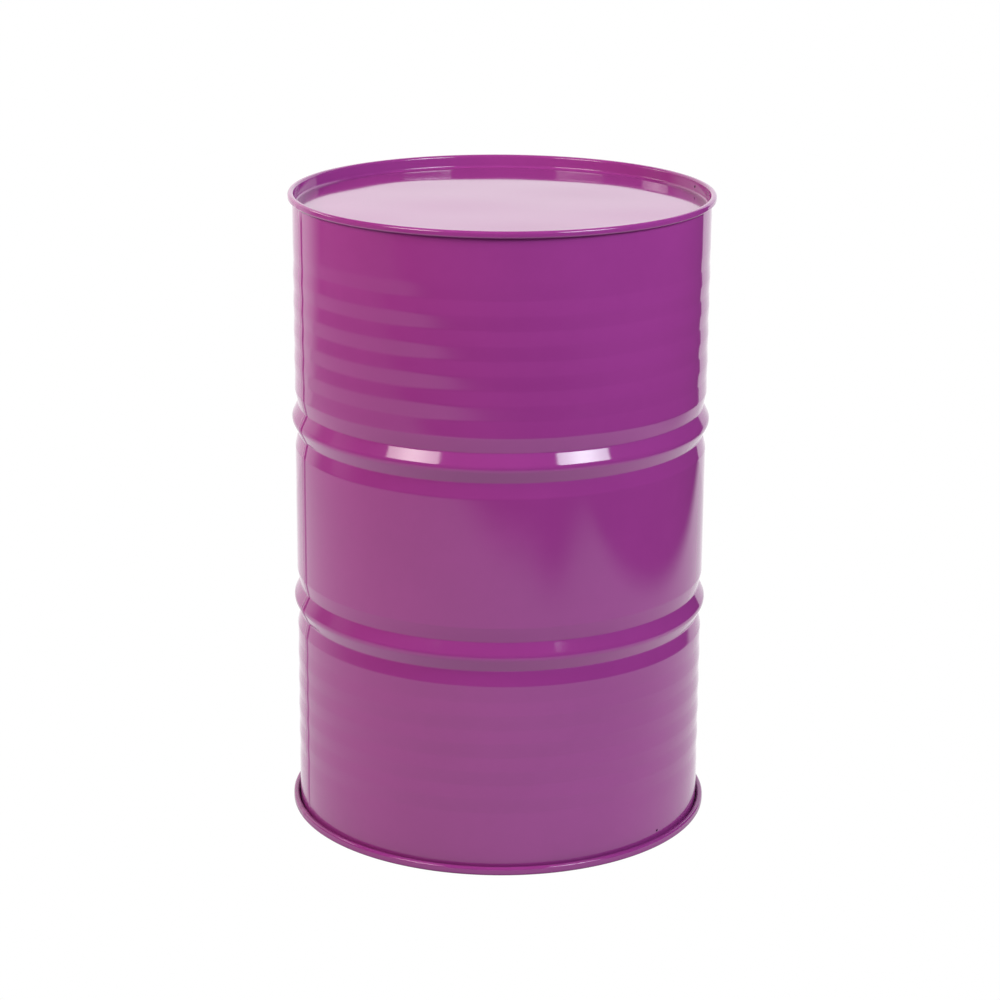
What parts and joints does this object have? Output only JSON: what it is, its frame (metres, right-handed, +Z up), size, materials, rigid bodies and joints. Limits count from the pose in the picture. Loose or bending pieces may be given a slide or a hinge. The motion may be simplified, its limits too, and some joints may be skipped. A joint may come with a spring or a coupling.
{
  "type": "steel drum",
  "caption": "Closed cylindrical steel drum with rolling hoops, shallow corrugations, seamed heads and two screw plugs in its underside, for storing liquids.",
  "frame": {"origin": "centre of the ring that the drum stands on, at floor level", "axes": "+Z up along the drum's axis; -Y is the front; the welded lap of the body lies at 202.3 degrees anticlockwise from +X, and the large closure at 292.3 degrees"},
  "size_m": [0.5924, 0.5924, 0.886],
  "materials": {
    "painted_steel": "gloss",
    "zinc_plated_steel": "satin",
    "gasket_rubber": "matte",
    "seam_compound": "matte"
  },
  "bodies": {
    "drum": {"body_shell": "painted_steel", "top_head": "painted_steel", "bottom_head": "painted_steel", "top_seam_compound": "seam_compound", "bottom_seam_compound": "seam_compound", "large_flange": "zinc_plated_steel", "large_flange_gasket": "gasket_rubber", "small_flange": "zinc_plated_steel", "small_flange_gasket": "gasket_rubber"},
    "large_plug_gasket": {"large_plug_gasket": "gasket_rubber"},
    "large_plug": {"large_plug": "zinc_plated_steel"},
    "small_plug_gasket": {"small_plug_gasket": "gasket_rubber"},
    "small_plug": {"small_plug": "zinc_plated_steel"}
  },
  "joints": [
    {"name": "large_plug_travel", "type": "slide", "parent": "drum", "child": "large_plug_gasket", "axis": [0, 0, -1], "range_m": [0, 0.01039]},
    {"name": "large_plug_turn", "type": "hinge", "parent": "large_plug_gasket", "child": "large_plug", "pos_m": [0.08196, -0.19984, 0.016], "axis": [0, 0, -1], "range_deg": [0, 1620]},
    {"name": "small_plug_travel", "type": "slide", "parent": "drum", "child": "small_plug_gasket", "axis": [0, 0, -1], "range_m": [0, 0.00907]},
    {"name": "small_plug_turn", "type": "hinge", "parent": "small_plug_gasket", "child": "small_plug", "pos_m": [-0.08803, 0.21465, 0.016], "axis": [0, 0, -1], "range_deg": [0, 1800]}
  ],
  "couplings": [
    {"joint": "large_plug_travel", "follows": "large_plug_turn", "m_per_rad": 0.00036749},
    {"joint": "small_plug_travel", "follows": "small_plug_turn", "m_per_rad": 0.00028871}
  ]
}
